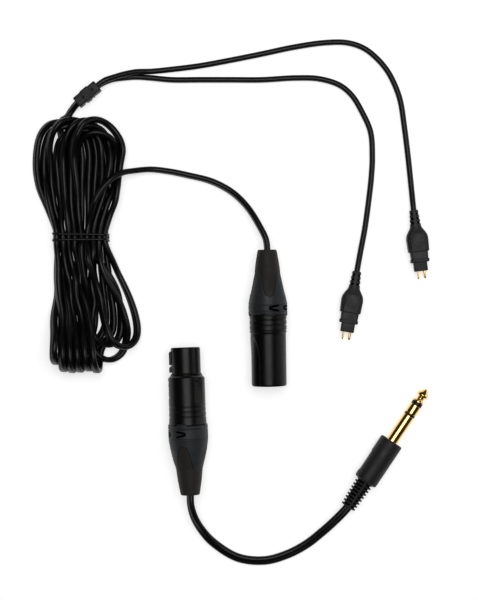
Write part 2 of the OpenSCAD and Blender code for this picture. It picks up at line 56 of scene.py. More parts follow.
MALE_AT, MALE_HEADING = (14.5, 25), -89.2
MALE_X = (12.4, 24.9, 28.9, 34.5)
MALE_LEN = 72.8
MALE_RING_R = 10.45
MALE_SHELL_R = 9.5

FEMALE_AT, FEMALE_HEADING = (-26.5, -106), 92
FEMALE_X = (13.6, 26.5, 29.6, 37.2)
FEMALE_LEN = 78.8
FEMALE_RING_R = 10.65
BARREL_R = 7.85
HOUSING_R = 9.8
BARREL_X = 65
FEMALE_SPIN = -17

JACK_AT, JACK_HEADING = (58, -113), 56.2
JACK_R = 3.175
JACK_COVER_R = 6.45

SPLITTER_AT, SPLITTER_HEADING = (-82, 108.5, 6), 40

RIGHT_ROUTE = [
    (-79, 111, 7.6), (-76, 113.5, 7.6), (-72.5, 116, 7.4), (-68.5, 117.5, 6.6), (-62.5, 119.5, 5.2),
    (-56, 121, 3.6), (-48, 121.5, 1.8), (-38, 122.5, 1.6), (-22, 124.5, 1.6), (-5.5, 127.5, 1.6),
    (12, 131, 1.6), (28.5, 134.5, 1.6), (45.5, 137, 1.6), (58, 137, 1.6), (67, 134, 1.6),
    (74, 128.5, 1.6), (79.5, 122, 1.6), (83.5, 114.5, 1.6), (86.5, 106, 1.6), (89, 90, 1.6),
    (91, 73.5, 1.6), (92.5, 58, 2.6), (93.5, 46.5, 4.2), (94.5, 38, 4.2)
]
LEFT_ROUTE = [
    (-79, 111, 4.4), (-76, 113.5, 4.4), (-72.5, 115.5, 4), (-68.5, 117, 3.2), (-62.5, 118, 2),
    (-56, 118.5, 1.6), (-48, 118, 1.6), (-37, 117, 1.6), (-21.5, 117, 1.6), (-5.5, 117, 1.6),
    (12, 117, 1.6), (30, 118, 1.6), (43, 117.5, 1.6), (54, 114, 1.6), (60.5, 108.5, 1.6),
    (66, 99.5, 1.6), (70.5, 89, 1.6), (71.5, 76, 1.6), (71, 65, 1.6), (69.5, 51.5, 1.6),
    (67.5, 37, 1.6), (65, 24, 2.6), (63, 13.5, 4.2), (61.5, 5, 4.2)
]
UPPER_ROUTE = [(-85, 106, 6), (-88, 103.5, 4.4), (-91, 100, 2.8), (-93.5, 96, 2.4), (-95, 90, 2.4)]
TAIL_ROUTE = [
    (-80.6, 40, 10.5), (-78.6, 48, 12.5), (-75, 55.5, 13), (-69, 62.5, 12.5), (-63.5, 66, 10),
    (-57, 67.5, 6.5), (-48, 68.5, 3), (-38.5, 67.5, 2), (-28.5, 65.5, 2), (-15, 62, 2.4),
    (-4, 56, 3.6), (4, 48, 6.4), (10, 38.5, 9.6), (14, 30, 11.3), (14.5, 25, 11.2), (14.8, 5, 10.8)
]
ADAPTER_ROUTE = [
    (-27.4, -80, 11), (-26.5, -106, 11.8), (-26.3, -111, 11.8), (-24.5, -118, 9.8),
    (-20.5, -125.5, 6.0), (-14, -133, 2.8), (-1, -141, 1.7), (13.5, -142.5, 1.7),
    (26, -139, 1.9), (36, -133.5, 2.8), (44, -127, 4.2), (51, -120.5, 5.6), (58, -113, 6.4),
    (66.5, -100.3, 6.4)
]

# ---------------------------------------------------------------- camera

VIEW_CENTRE = (-0.5, -1.9, 10.0)
VIEW_HEIGHT = 321.0
CAMERA_UP = 900.0
SENSOR = 36.0

camera_data = bpy.data.cameras.new("camera")
camera = bpy.data.objects.new("camera", camera_data)
bpy.context.scene.collection.objects.link(camera)
camera.location = [c * MM for c in (VIEW_CENTRE[0], VIEW_CENTRE[1], VIEW_CENTRE[2] + CAMERA_UP)]
camera_data.sensor_width = SENSOR
camera_data.lens = SENSOR * CAMERA_UP / VIEW_HEIGHT
bpy.context.scene.camera = camera

# ---------------------------------------------------------------- materials


def material(name, colour, roughness, grain, metallic=0.0, spread=0.15, rough_spread=0.08, height=0.00003,
             specular=0.5, coat=0.0, coat_roughness=0.2, sheen=0.0, patches=60.0):
    """A surface with slightly uneven colour and roughness, and a fine grain of that many bumps a metre"""
    made = bpy.data.materials.new(name)
    made.use_nodes = True
    tree = made.node_tree
    shader = tree.nodes["Principled BSDF"]
    shader.inputs["Metallic"].default_value = metallic
    shader.inputs["Specular IOR Level"].default_value = specular
    shader.inputs["Coat Weight"].default_value = coat
    shader.inputs["Coat Roughness"].default_value = coat_roughness
    shader.inputs["Sheen Weight"].default_value = sheen
    place = tree.nodes.new("ShaderNodeTexCoord").outputs["Object"]

    def noise(scale, detail):
        made_noise = tree.nodes.new("ShaderNodeTexNoise")
        made_noise.inputs["Scale"].default_value = scale
        made_noise.inputs["Detail"].default_value = detail
        tree.links.new(place, made_noise.inputs["Vector"])
        return made_noise.outputs["Fac"]

    def ramp(source, low, high):
        made_ramp = tree.nodes.new("ShaderNodeValToRGB")
        made_ramp.color_ramp.elements[0].position = 0.3
        made_ramp.color_ramp.elements[1].position = 0.7
        made_ramp.color_ramp.elements[0].color = (*low, 1)
        made_ramp.color_ramp.elements[1].color = (*high, 1)
        tree.links.new(source, made_ramp.inputs["Fac"])
        return made_ramp.outputs["Color"]

    uneven = noise(patches, 4)
    low = [c * (1 - spread) for c in colour]
    high = [min(1.0, c * (1 + spread)) for c in colour]
    tree.links.new(ramp(uneven, low, high), shader.inputs["Base Color"])
    worn = noise(patches * 3.7, 5)
    rough = ramp(worn, [roughness - rough_spread] * 3, [roughness + rough_spread] * 3)
    tree.links.new(rough, shader.inputs["Roughness"])
    bump = tree.nodes.new("ShaderNodeBump")
    bump.inputs["Strength"].default_value = 0.5
    bump.inputs["Distance"].default_value = height
    tree.links.new(noise(grain, 3), bump.inputs["Height"])
    tree.links.new(bump.outputs["Normal"], shader.inputs["Normal"])
    return made


CORD = material("cord_pvc", (0.006, 0.006, 0.0064), 0.34, 1500, rough_spread=0.06, height=0.00002)
MOULDED = material("moulded_plastic", (0.035, 0.035, 0.037), 0.5, 4500, height=0.00006)
SPLIT = material("splitter_plastic", (0.03, 0.03, 0.031), 0.5, 4500, height=0.00005)
GLAND = material("gland_plastic", (0.042, 0.046, 0.053), 0.48, 5000, height=0.00004)
BOOT = material("boot_rubber", (0.04, 0.036, 0.031), 0.62, 3800, height=0.00006)
SHELL = material("black_shell", (0.0022, 0.0018, 0.0014), 0.34, 900, rough_spread=0.03, height=0.000002,
                 specular=0.42)
GOLD = material("gold_plate", (0.93, 0.66, 0.27), 0.16, 1800, metallic=1.0, spread=0.04, rough_spread=0.04,
                height=0.000006)
BLACK = material("black_plastic", (0.010, 0.010, 0.010), 0.35, 3000)
# painted shade: a near-black material with almost no reflection, put on the deep faces of slots and gaps to
# stand in for the shade inside them
PAINTED_GAP_SHADE = material("painted_gap_shade", (0.002, 0.002, 0.002), 0.85, 3000, specular=0.05)
COVER = material("cover_plastic", (0.032, 0.032, 0.033), 0.5, 5000, height=0.00005)
RELIEF = material("relief_rubber", (0.028, 0.028, 0.029), 0.55, 4200, height=0.00005)
TIE = material("tie_wire", (0.014, 0.014, 0.015), 0.33, 2600)
STEEL = material("spring_steel", (0.55, 0.55, 0.57), 0.3, 2200, metallic=1.0, spread=0.06)
CLAMP = material("clamp_nylon", (0.62, 0.6, 0.54), 0.5, 3500)
WIRES = {
    "red": material("wire_red", (0.42, 0.03, 0.02), 0.4, 2500),
    "white": material("wire_white", (0.6, 0.6, 0.58), 0.4, 2500),
    "blue": material("wire_blue", (0.05, 0.14, 0.4), 0.4, 2500),
    "yellow": material("wire_yellow", (0.6, 0.42, 0.05), 0.4, 2500),
}

# ---------------------------------------------------------------- shapes


def place(at, up, heading, tilt=0.0):
    """The place of a connector, as in the CAD source: +X runs from its cable end to its mating end"""
    turn = Matrix.Rotation(math.radians(heading), 4, "Z") @ Matrix.Rotation(math.radians(tilt), 4, "Y")
    return Matrix.Translation((at[0] * MM, at[1] * MM, up * MM)) @ turn @ Matrix.Scale(MM, 4)


def lying(at, heading, ring_edge, ring_r, front_x, front_r):
    """The place of an XLR connector that lies on its gland's ring and its front edge"""
    tilt = math.atan((ring_r - front_r) / (front_x - ring_edge))
    up = ring_edge * math.sin(tilt) + ring_r * math.cos(tilt)
    return place(at, up, heading, math.degrees(tilt))


HERE = Matrix.Scale(MM, 4)
LEFT = place(LEFT_PLUG[0], PLUG_T / 2, LEFT_PLUG[1])
RIGHT = place(RIGHT_PLUG[0], PLUG_T / 2, RIGHT_PLUG[1])
MALE = lying(MALE_AT, MALE_HEADING, MALE_X[3] - 1.4, MALE_RING_R, MALE_LEN, MALE_SHELL_R)
FEMALE = lying(FEMALE_AT, FEMALE_HEADING, FEMALE_X[3] - 1.4, FEMALE_RING_R, BARREL_X - 2, HOUSING_R)
JACK = place(JACK_AT, JACK_COVER_R, JACK_HEADING)
SPLITTER = place(SPLITTER_AT[:2], SPLITTER_AT[2], SPLITTER_HEADING)


def add(name, points, faces, where, look, body, replaces=(), crease=38.0):
    """A finished piece from points in millimetres: cleaned, facing outwards, smooth apart from its creases"""
    m = np.array(where)
    points = np.asarray(points, float) @ m[:3, :3].T + m[:3, 3]
    mesh = bpy.data.meshes.new(name)
    bm = bmesh.new()
    corners = [bm.verts.new(p) for p in points]
    for face in faces:
        bm.faces.new([corners[i] for i in face])
    bmesh.ops.remove_doubles(bm, verts=bm.verts, dist=0.000002)
    bmesh.ops.recalc_face_normals(bm, faces=bm.faces)
    bm.to_mesh(mesh)
    bm.free()
    mesh.shade_smooth()
    mesh.set_sharp_from_angle(angle=math.radians(crease))
    mesh.materials.append(look)
    piece = bpy.data.objects.new(name, mesh)
    bpy.context.scene.collection.objects.link(piece)
    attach(piece, body)
    if replaces:
        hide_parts(*replaces)
    return piece


def paint_gap_shade(piece, where, inside):
    """Paints shade: gives the near-black gap material to the faces that inside(x, r, angle) picks, in place
    of the shade deep in gaps
    """
    piece.data.materials.append(PAINTED_GAP_SHADE)
    back = np.linalg.inv(np.array(where))
    for face in piece.data.polygons:
        x, y, z = back[:3, :3] @ np.array(face.center) + back[:3, 3]
        if inside(x, math.hypot(y, z), math.atan2(-y, z)):
            face.material_index = 1


def rounded(points, cut, closed=False, steps=4):
    """A line of points with its corners rounded off. A third number on a point is its own cut."""
    plain = [np.array(p[:2], float) for p in points]
    out = []
    for i, p in enumerate(plain):
        own = points[i][2] if len(points[i]) > 2 else cut
        if own == 0 or (not closed and i in (0, len(plain) - 1)):
            out.append(p)
            continue
        before, after = plain[i - 1] - p, plain[(i + 1) % len(plain)] - p
        near, far = np.linalg.norm(before), np.linalg.norm(after)
        a = p + before / near * min(own, 0.45 * near)
        b = p + after / far * min(own, 0.45 * far)
        for s in range(steps + 1):
            t = s / steps
            out.append(a * (1 - t) ** 2 + 2 * p * t * (1 - t) + b * t * t)
    return np.array(out)


def dense(points, step, closed=False):
    """The same line with no stretch longer than step"""
    ends = np.vstack([points, points[:1]]) if closed else points
    out = []
    for a, b in zip(ends[:-1], ends[1:]):
        parts = max(1, math.ceil(np.linalg.norm(b - a) / step))
        out += [a + (b - a) * k / parts for k in range(parts)]
    if not closed:
        out.append(ends[-1])
    return np.array(out)


def grid(rings, closed_rings=True):
    """Points and faces of rings joined one to the next. closed_rings also joins the last to the first."""
    count, size = len(rings), len(rings[0])
    faces = []
    for i in range(count if closed_rings else count - 1):
        j = (i + 1) % count
        for k in range(size):
            n = (k + 1) % size
            faces.append((i * size + k, i * size + n, j * size + n, j * size + k))
    if not closed_rings:
        faces.append(tuple(range(size))[::-1])
        faces.append(tuple(range((count - 1) * size, count * size)))
    return np.vstack(rings), faces


def turned(profile, shape=None, segments=128, cut=0.15, step=None, steps=4):
    """A solid turned about X from a closed profile of (station, radius).
    shape(x, r, angle) changes the radius. The angle is 0 at the top and grows towards -Y."""
    line = rounded(profile, cut, True, steps)
    if step:
        line = dense(line, step, True)
    x, r = line[:, 0], line[:, 1]
    rings = []
    for k in range(segments):
        angle = 2 * math.pi * k / segments
        out = shape(x, r, angle) if shape else r
        rings.append(np.stack([x, -out * math.sin(angle), out * math.cos(angle)], axis=1))
    return grid(rings)


def smooth(x, low, high):
    t = np.clip((x - low) / (high - low), 0, 1)
    return t * t * (3 - 2 * t)


def spline(points, step):
    """A smooth curve through the points, with points about step apart"""
    p = np.array(points, float)
    p = np.vstack([2 * p[0] - p[1], p, 2 * p[-1] - p[-2]])
    out = []
    for a, b, c, d in zip(p[:-3], p[1:-2], p[2:-1], p[3:]):
        t1 = max(np.linalg.norm(b - a), 1e-6) ** 0.5
        t2 = t1 + max(np.linalg.norm(c - b), 1e-6) ** 0.5
        t3 = t2 + max(np.linalg.norm(d - c), 1e-6) ** 0.5
        t = np.linspace(t1, t2, 24, endpoint=False)[:, None]
        a1 = (t1 - t) / t1 * a + t / t1 * b
        a2 = (t2 - t) / (t2 - t1) * b + (t - t1) / (t2 - t1) * c
        a3 = (t3 - t) / (t3 - t2) * c + (t - t2) / (t3 - t2) * d
        b1 = (t2 - t) / t2 * a1 + t / t2 * a2
        b2 = (t3 - t) / (t3 - t1) * a2 + (t - t1) / (t3 - t1) * a3
        out.append((t2 - t) / (t2 - t1) * b1 + (t - t1) / (t2 - t1) * b2)
    line = np.vstack(out + [p[-2][None]])
    along = np.concatenate([[0], np.cumsum(np.linalg.norm(np.diff(line, axis=0), axis=1))])
    at = np.linspace(0, along[-1], int(round(along[-1] / step)) + 1)
    return np.stack([np.interp(at, along, line[:, k]) for k in range(3)], axis=1)


def length(line):
    return float(np.linalg.norm(np.diff(line, axis=0), axis=1).sum())


def unit(v):
    return v / np.linalg.norm(v, axis=-1, keepdims=True)


def headings(line):
    return unit(np.gradient(line, axis=0))


# ---------------------------------------------------------------- cords


def swept(line, wide, outline):
    """A tube along a line. wide is the direction of the outline's first axis at each point."""
    ahead = headings(line)
    wide = unit(wide - (wide * ahead).sum(1)[:, None] * ahead)
    other = np.cross(ahead, wide)
    rings = []
    for at, w, o in zip(line, wide, other):
        rings.append(at + np.outer(outline[:, 0], w) + np.outer(outline[:, 1], o))
    return grid(rings, False)


def circle(r, sides):
    t = 2 * math.pi * np.arange(sides) / sides
    return np.stack([r * np.cos(t), r * np.sin(t)], axis=1)


def twin_outline(points_each=11):
    """Two round lobes side by side, with a groove between them"""
    meet = math.pi - math.acos(LOBE_OUT / LOBE_R)
    t = np.linspace(-meet, meet, points_each)
    right = np.stack([LOBE_OUT + LOBE_R * np.cos(t), LOBE_R * np.sin(t)], axis=1)
    return np.vstack([right[:-1], -right[:-1]])


def lay_cord(name, line, wide, outline, body, replaces):
    points, faces = swept(line, wide, outline)
    piece = add(name, points, faces, HERE, CORD, body, replaces, crease=60)


# The hank: eight loops above the tie and nine turns below it.
# A slot is a column and a row of strands at the tie.
TIE_AT = (-85.5, 31.5)
COLUMN = 3.24
ROW_Z = (4.0, 8.6)
HANK_STEP = 3.2
FIRST_SLOT, LAST_SLOT = (2, 0), (5, 1)
# each loop's slots on the way up and down, its left side, right side and top, and its height at each
LOOPS = [
    ((0, 0), (4, 0), -108.9, -84.6, 93.2, 2.4, 7.6, 2.4),
    ((0, 1), (5, 0), -106.1, -81.2, 92.6, 5.4, 8.6, 2.4),
    ((1, 0), (6, 0), -102.9, -79.0, 94.0, 7.6, 10.4, 2.4),
    ((1, 1), (7, 0), -97.6, -75.2, 90.0, 6.5, 9.4, 2.4),
    ((2, 1), (8, 0), -95.2, -72.6, 94.2, 9.0, 10.8, 2.8),
    ((3, 1), (6, 1), -92.2, -70.4, 91.5, 10.0, 12.0, 4.5),
    ((3, 0), (7, 1), -88.0, -67.4, 88.6, 9.0, 9.8, 6.0),
    ((4, 1), (8, 1), -89.4, -64.9, 95.2, 12.5, 14.0, 9.0),
]
LOOP_Y = 78.0
# the tips of the six turns that stand on edge, and how far each bulges at its tip and along the floor
TIPS = [
    (-96.8, -34.5, -1.5, 0), (-93.0, -38.4, 0, 0), (-89.2, -38.8, 0, 1),
    (-85.4, -38.5, 0, 4), (-81.4, -38.0, 0, 6), (-77.0, -38.8, 0, 7)
]
TIP_R = 9.8
# the three turns that lie over to the right
FOLD = [
    (-79.5, 14, 12.5), (-80, 0, 17), (-79.5, -12, 18), (-77, -21, 17), (-72.5, -26.5, 13.5),
    (-67.5, -24.5, 10.5),
    (-65.3, -17, 9), (-65.5, -7, 8), (-67.5, 4, 7), (-72, 14, 6), (-81, 24, 4)
]
CAP = [
    (-73.5, 14, 9), (-68, 4, 12), (-63.5, -6, 13.5), (-62, -16, 12.5), (-62.5, -26, 10.5), (-66, -32.5, 9),
    (-71.5, -34.6, 9), (-76.5, -31, 11.5), (-79.2, -23, 15), (-81, -12, 19), (-82.6, 2, 18.5),
    (-84.2, 16, 12.5)
]
FLAP = [
    (-67.5, 16, 11), (-62, 5, 13.5), (-57.8, -6, 15), (-55.8, -15, 17), (-56.6, -23.5, 19.5), (-61, -28, 22),
    (-66.6, -25.5, 22.8), (-70.6, -18, 22.8), (-73.6, -8, 21.5), (-76.6, 4, 18), (-79.6, 17, 13)
]


def slot_point(slot):
    column, row = slot
    return (TIE_AT[0] + (column - 4) * COLUMN, TIE_AT[1], ROW_Z[row])


def mix(a, b, t):
    return a + (b - a) * t


def loop_points(up, down, left, right, top, z_left, z_top, z_right):
    """A loop above the tie, up its left side and down its right"""
    a, b = slot_point(up), slot_point(down)
    middle, half = (left + right) / 2, (right - left) / 2
    out = [a, (mix(a[0], left, 0.5), 49, mix(a[2], z_left, 0.6)), (mix(a[0], left, 0.9), 64, z_left)]
    for k in range(7):
        t = math.pi * (1 - k / 6)
        z_side = z_left if k < 3 else z_right
        z = mix(z_top, z_side, abs(math.cos(t)) ** 1.5)
        out.append((middle + half * math.cos(t), LOOP_Y + (top - LOOP_Y) * math.sin(t), z))
    out += [(mix(b[0], right, 0.9), 64, z_right), (mix(b[0], right, 0.5), 49, mix(b[2], z_right, 0.6))]
    return out + [b]


def tip_points(down, up, x, y, bulge, low):
    """A turn below the tie that stands on edge: out along the floor, up round its tip and back on top"""
    a, b = slot_point(down), slot_point(up)
    z_low = LOBE_R + 1.0
    out = [(mix(a[0], x, 0.35) + low / 2, 14, z_low), (mix(a[0], x + 2, 0.75) + low, -4, z_low)]
    out.append((mix(a[0], x + 2, 0.95) + low, -18, z_low))
    for k in range(7):
        t = math.pi * k / 6
        side = x + 1.5 - 3 * k / 6 + bulge * math.sin(t)
        out.append((side, y + TIP_R - TIP_R * math.sin(t), z_low + TIP_R - TIP_R * math.cos(t)))
    end = b[0], x - 1.5
    out += [(mix(*end, 0.8) + bulge / 2, -14, 21.5), (mix(*end, 0.5), 0, 18.5)]
    return out + [(mix(*end, 0.2), 15, 12.5)]


def trunk_points():
    out = UPPER_ROUTE + [(-95.5, 82, 2.4), (-95.6, 70, 2.4), (-94.5, 50, 3), slot_point(FIRST_SLOT)]
    down = FIRST_SLOT
    for i, turn in enumerate(TIPS + [FOLD, CAP, FLAP]):
        up = LOOPS[i][0] if i < len(LOOPS) else LAST_SLOT
        out += tip_points(down, up, *turn) if i < len(TIPS) else turn
        if i < len(LOOPS):
            out += loop_points(*LOOPS[i])
            down = LOOPS[i][1]
    return out + [slot_point(LAST_SLOT)] + TAIL_ROUTE


def twin_wide(line):
    """The way the twin cord's width points: upright at the tie and leaning over in the end loops"""
    y = line[:, 1]
    lean = np.radians(12 + 30 * smooth(-y, -20, 20) + 22 * smooth(y, 45, 70))
    return np.stack([np.sin(lean), 0 * lean, np.cos(lean)], axis=1)


MIN_BEND = 9.0
HANK_TOP = (17.0, 25.0)  # highest point above the tie and below it
TIE_HALF = 12.95  # the strands' middles stay this close to the tie's middle
FALL = 0.02  # how far each round lets the strands drop
PLAN_PULL = 0.03  # share of the way back to the plan in each round
STRAIGHTEN = 0.10


def settle(line, rounds):
    """Moves the hank's strands apart, bends them gently and lets them sink onto what is below"""
    count = len(line)
    rest = np.linalg.norm(np.diff(line, axis=0), axis=1)
    plan = line.copy()
    held = np.zeros(count, bool)
    held[:5] = True
    held[count - int(150 / HANK_STEP):] = True
    in_hank = (line[:, 0] < -54) & ~held
    at_tie = np.abs(line[:, 1] - TIE_AT[1]) < 3.4
    first, second = np.triu_indices(count, 5)
    # a bend of the smallest allowed radius keeps points this far apart, two, four and six steps on
    least = [2 * MIN_BEND * math.sin(k * HANK_STEP / 2 / MIN_BEND) for k in (2, 4, 6)]
    for turn in range(rounds):
        if turn % 8 == 0:
            wide = twin_wide(line)
            ahead = headings(line)
            wide = unit(wide - (wide * ahead).sum(1)[:, None] * ahead)
            near = (np.abs(line[first] - line[second]) < 6.5).all(1)
            a, b = first[near], second[near]
        line[:, 2] -= FALL
        line[:, :2] += PLAN_PULL * (plan[:, :2] - line[:, :2])
        for _ in range(2):
            middle = (line[:-2] + line[2:]) / 2 - line[1:-1]
            line[1:-1] += STRAIGHTEN * middle
            line[:-2] -= STRAIGHTEN / 2 * middle
            line[2:] -= STRAIGHTEN / 2 * middle
            for k, far in zip((2, 4, 6), least):
                d = line[k:] - line[:-k]
                gap = np.linalg.norm(d, axis=1)
                push = (0.25 * np.maximum(far - gap, 0) / gap)[:, None] * d
                line[k:] += push
                line[:-k] -= push
            d = np.diff(line, axis=0)
            gap = np.linalg.norm(d, axis=1)
            pull = (0.25 * (gap - rest) / gap)[:, None] * d
            line[:-1] += pull
            line[1:] -= pull
            d = line[a] - line[b]
            gap = np.maximum(np.linalg.norm(d, axis=1), 1e-6)
            away = d / gap[:, None]
            need = 2 * LOBE_R + LOBE_OUT * (np.abs((away * wide[a]).sum(1)) + np.abs((away * wide[b]).sum(1)))
            deep = np.maximum(need - gap, 0)
            hit = deep > 0
            push = (0.5 * deep[hit])[:, None] * away[hit]
            total, hits = np.zeros_like(line), np.zeros(count)
            np.add.at(total, a[hit], push)
            np.add.at(total, b[hit], -push)
            np.add.at(hits, a[hit], 1)
            np.add.at(hits, b[hit], 1)
            line += 0.9 * total / np.maximum(hits, 1)[:, None]
            half = LOBE_R + LOBE_OUT * np.abs(wide[:, 2])
            top = np.where(line[:, 1] > 45, HANK_TOP[0], HANK_TOP[1]) - half
            line[:, 2] = np.maximum(line[:, 2], half)
            line[in_hank, 2] = np.minimum(line[in_hank, 2], top[in_hank])
            line[at_tie, 2] = np.clip(line[at_tie, 2], 3.8, 8.9)
            line[at_tie, 0] = np.clip(line[at_tie, 0], TIE_AT[0] - TIE_HALF, TIE_AT[0] + TIE_HALF)
        line[held] = plan[held]
    return line


trunk_line = settle(spline(trunk_points(), HANK_STEP), 600)
trunk_line = spline(trunk_line, 1.3)
print("trunk", round(length(trunk_line)))
trunk_wide = twin_wide(trunk_line)
trunk_line[:, 2] = np.maximum(trunk_line[:, 2], LOBE_R + LOBE_OUT * np.abs(trunk_wide[:, 2]) * 0.97)

TWIN = twin_outline()
LEG = circle(LEG_D / 2, 20)
UP = np.array([0, 0, 1.0])


def flat_wide(line, turns):
    """The cord's width across the line, turned by pairs of a share of the way along and an angle"""
    ahead = headings(line)
    side = unit(np.cross(UP, ahead))
    above = np.cross(ahead, side)
    along = np.linspace(0, 1, len(line))
    angle = np.radians(np.interp(along, [t[0] for t in turns], [t[1] for t in turns]))[:, None]
    return side * np.cos(angle) + above * np.sin(angle)


# ---------------------------------------------------------------- pieces of the connectors

MALE_SPIN = -5
PETALS = 4
PETAL_GAP = 4.6  # half the gap between two petals at their roots
PETAL_NOSE = 2.0  # length of a petal's rounded tip
PETAL_WALL = 0.9
SEAM = 0.15  # between a petal and a tongue
TONGUE_END = 3.0  # about half a tongue's width near its round end
RING_BEVEL = 1.4  # from the ring's full radius to the gland's front
SLOT_DEPTH = 0.95
LINE_DEPTH = 0.22
RIDGE_DEPTH = 0.035
TAB = 0.9  # how far the ring's tabs reach over the shell


def petal_tip(stations):
    return stations[0] - 0.4


def petal_root(stations):
    return stations[0] + 1.6


def cone_r(x, stations, ring_r):
    """Outside radius of a gland's cone"""
    return np.interp(x, [petal_tip(stations), 18, 24, stations[2] - 0.6, stations[2]],
                     [ring_r - 3.5, ring_r - 2.2, ring_r - 0.95, ring_r - 0.15, ring_r])


def tongue_half(x, stations):
    """Half the width of the gap between two petals, which a tongue of the boot fills"""
    root = petal_root(stations)
    t = np.clip((x - root) / (stations[1] - root), 0, 1)
    return (TONGUE_END + (PETAL_GAP - TONGUE_END) * (1 - t) ** 1.6) * np.sqrt(1 - t ** 6)


def petal_half(x, stations, r):
    """Half a petal's width, measured round the cone"""
    root = petal_root(stations)
    full = math.pi * r / PETALS - np.where(x < stations[1], tongue_half(x, stations), 0)
    at_root = math.pi * np.interp(root, x, r) / PETALS - PETAL_GAP
    nose = at_root * np.sqrt(np.clip(1 - ((root - x) / PETAL_NOSE) ** 2, 0, 1))
    return np.where(x < root, nose, full)


def slots_at(angle, spans):
    """1 between the ends of a slot, 0 elsewhere"""
    return sum(smooth(angle, a - 1.5, a) * (1 - smooth(angle, b, b + 1.5)) for a, b in spans)


def ring_relief(x, degrees, stations, slots):
    """How deep the marks in a gland's ring go: two lines all round, forked slots, fine ridges behind it"""
    end, ring, front = stations[1:]
    deep = RIDGE_DEPTH * np.ones_like(x)
    for at in (ring + 0.5, front - 1.9):
        deep += LINE_DEPTH * np.clip(1 - np.abs(x - at) / 0.26, 0, 1) ** 0.4
    middle = (ring + front - RING_BEVEL) / 2
    for a, b in slots:
        apart = 0.25 + 1.15 * np.clip((b - degrees) / (b - a), 0, 1) ** 0.7
        off = np.abs(np.abs(x - middle) - apart)
        deep += SLOT_DEPTH * slots_at(degrees, [(a, b)]) * np.clip(1 - (off / 0.55) ** 6, 0, 1)
    ridged = smooth(x, end - 1, end + 0.3) * (1 - smooth(x, ring - 0.8, ring - 0.3))
    return deep + RIDGE_DEPTH * ridged * np.sin((x - end) * 2 * math.pi / 0.8)


def gland(name, stations, ring_r, spin, slots, where, body, replaces):
    """A screw gland: four petals that run into a ring, with a neck inside that the shell hides"""
    end, ring, front = stations[1:]
    root = petal_root(stations)
    # stations along a petal, closer together at its tip and at the end of the gap
    xs = np.concatenate([
        root - PETAL_NOSE * np.cos(np.linspace(0, math.pi / 2, 10)), np.linspace(root, end - 2, 24)[1:],
        end - 2 * (1 - np.sin(np.linspace(0, math.pi / 2, 12)[1:]))
    ])
    xs[0], xs[9] = petal_tip(stations), root
    slit = len(xs)
    solid = np.concatenate([np.arange(end + 0.3, ring - 0.1, 0.3), np.arange(ring, front - RING_BEVEL, 0.11)])
    outer_x = np.concatenate([xs, solid])
    outer_r = cone_r(outer_x, stations, ring_r)
    inside = np.array([
        (front - RING_BEVEL, ring_r), (front - 0.5, ring_r - 0.1), (front - 0.12, ring_r - 0.3),
        (front, ring_r - 0.6), (front, 7.9), (front + 0.2, 7.8), (front + 6.5, 7.8), (front + 6.5, 6.8),
        (ring + 0.4, 6.8)
    ])
    inner_r = cone_r(xs[::-1], stations, ring_r) - PETAL_WALL
    line_x = np.concatenate([outer_x, inside[:, 0], xs[::-1]])
    line_r = np.concatenate([outer_r, inside[:, 1], inner_r])
    # half the angle that a petal takes up at each station
    half = np.full(len(line_x), math.pi / PETALS)
    cone = cone_r(xs, stations, ring_r)
    open_half = petal_half(xs, stations, cone) / cone
    half[:slit] = open_half
    half[-slit:] = open_half[::-1]
    columns = 60
    u = np.linspace(-1, 1, columns)
    u = np.sign(u) * (1 - (1 - np.abs(u)) ** 1.15)
    outer = (np.arange(len(line_x)) < len(outer_x))[:, None]
    last = len(line_x) - 1
    points, faces = [], []
    for k in range(PETALS):
        middle = math.radians(spin + (k + 0.5) * 360 / PETALS)
        base = len(points) * columns * len(line_x)
        angle = middle + np.outer(half, u)
        x = np.repeat(line_x[:, None], columns, 1)
        r = np.repeat(line_r[:, None], columns, 1)
        # the petals' edges are rounded over
        edge = (1 - np.abs(u))[None, :] * half[:, None] * r
        near = np.clip(1 - edge / 0.45, 0, 1)
        fade = 1 - smooth(x, end + 0.2, end + 1.2)
        r = r - np.where(outer, 0.22 * (1 - np.sqrt(1 - near ** 2)) * fade, 0)
        degrees = np.degrees((angle + math.pi) % (2 * math.pi) - math.pi)
        r = r - np.where(outer, ring_relief(x, degrees, stations, slots), 0)
        tab = 1 - smooth(np.abs((degrees - spin + 45) % 90 - 45), 13, 15)
        at_front = (x > front - 0.6) & (x <= front) & (r > ring_r - 0.7)
        x = x + np.where(at_front, TAB * tab, 0)
        points.append(np.stack([x, -r * np.sin(angle), r * np.cos(angle)], axis=2).reshape(-1, 3))
        for i in range(last):
            for c in range(columns - 1):
                a = base + i * columns + c
                faces.append((a, a + 1, a + columns + 1, a + columns))
        # the walls along both sides of a petal
        for i in range(slit - 1):
            for c in (0, columns - 1):
                a, b = base + i * columns + c, base + (last - i) * columns + c
                faces.append((a, a + columns, b - columns, b))
    piece = add(name, np.vstack(points), faces, where, GLAND, body, replaces, crease=42)
    # painted shade: the deep faces of the ring's slots get the near-black gap material
    paint_gap_shade(piece, where, lambda x, r, _: ring < x < front - RING_BEVEL and -1.2 < r - ring_r < -0.45)
    return piece


